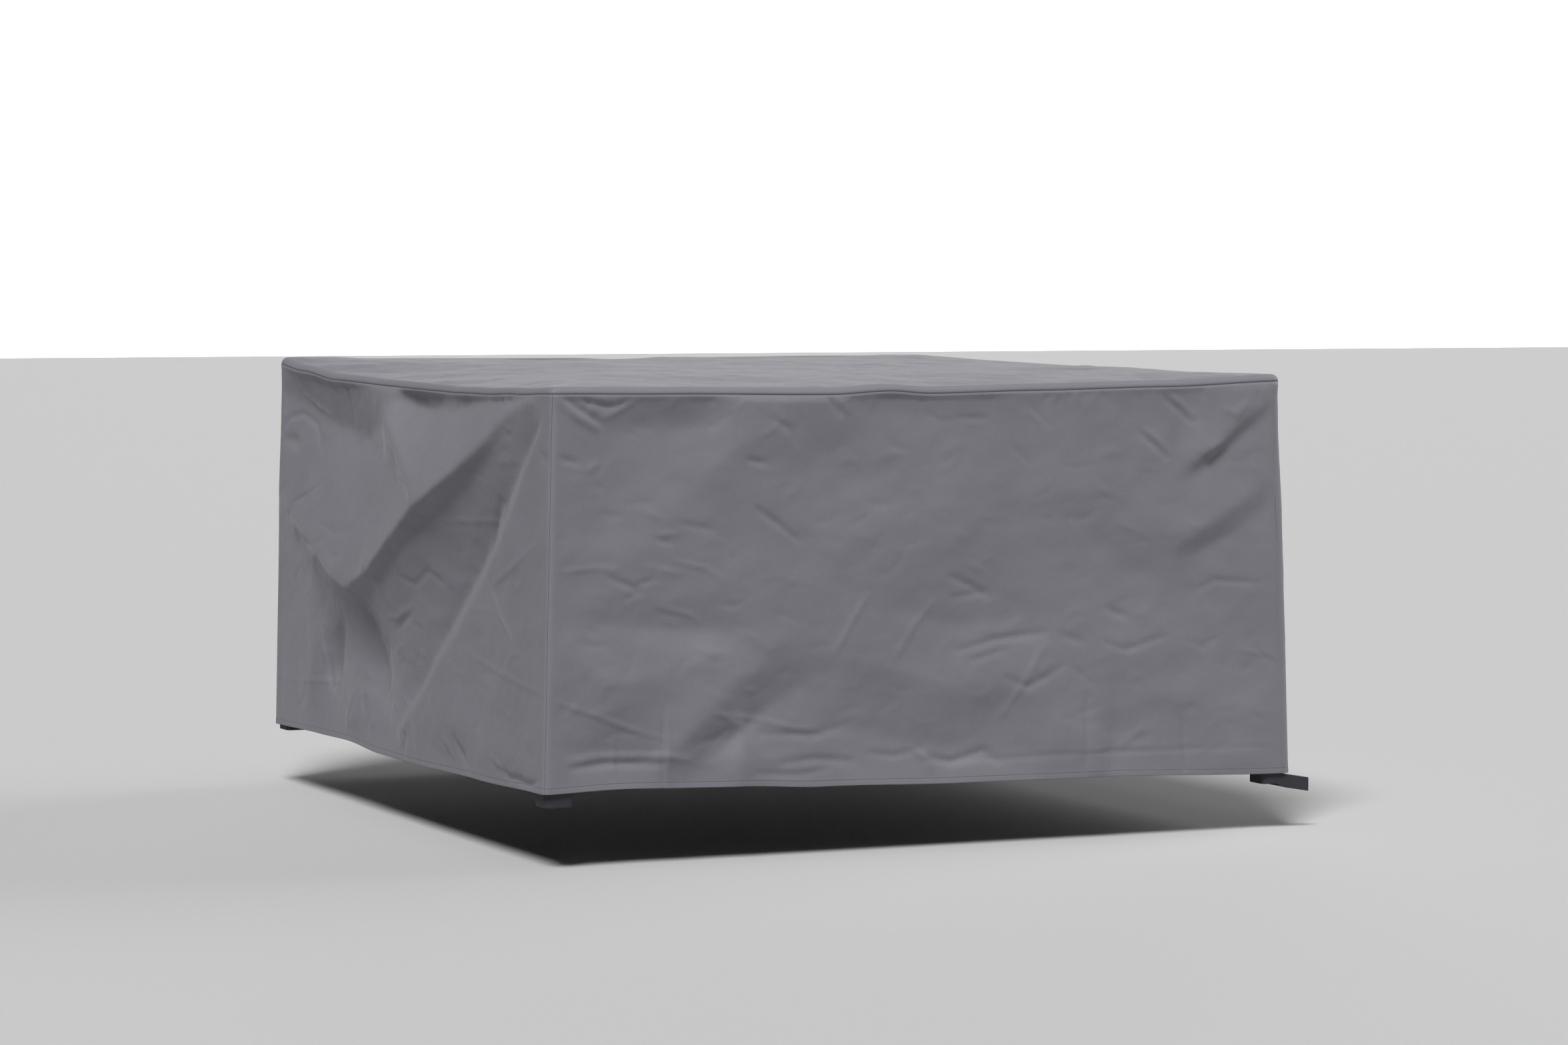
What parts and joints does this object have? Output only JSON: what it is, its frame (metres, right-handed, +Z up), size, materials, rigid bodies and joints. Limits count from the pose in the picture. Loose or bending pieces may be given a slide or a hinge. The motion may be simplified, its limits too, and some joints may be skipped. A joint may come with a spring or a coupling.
{
  "type": "fitted patio furniture cover",
  "caption": "Fitted rectangular cover for a patio table and chairs: flat top, four hanging skirt panels with deep folds at one end, and webbing straps that loop round the corner legs.",
  "frame": {"origin": "underside of the top panel at its middle, where the cover rests on the furniture", "axes": "+X along the long sides, the front skirt faces -Y and the deeply folded end faces -X, +Z up"},
  "size_m": [1.5442, 1.4294, 0.7677],
  "materials": {
    "cover_cloth": "coated woven polyester, grey with a faint violet cast, soft sheen",
    "strap_webbing": "dark woven polyester webbing, matt"
  },
  "bodies": {
    "root": {"top_panel": "cover_cloth", "front_panel": "cover_cloth", "right_end_panel": "cover_cloth", "back_panel": "cover_cloth", "left_end_panel": "cover_cloth", "strap_front_left": "strap_webbing", "strap_front_right": "strap_webbing", "strap_back_right": "strap_webbing", "strap_back_left": "strap_webbing"}
  },
  "joints": []
}
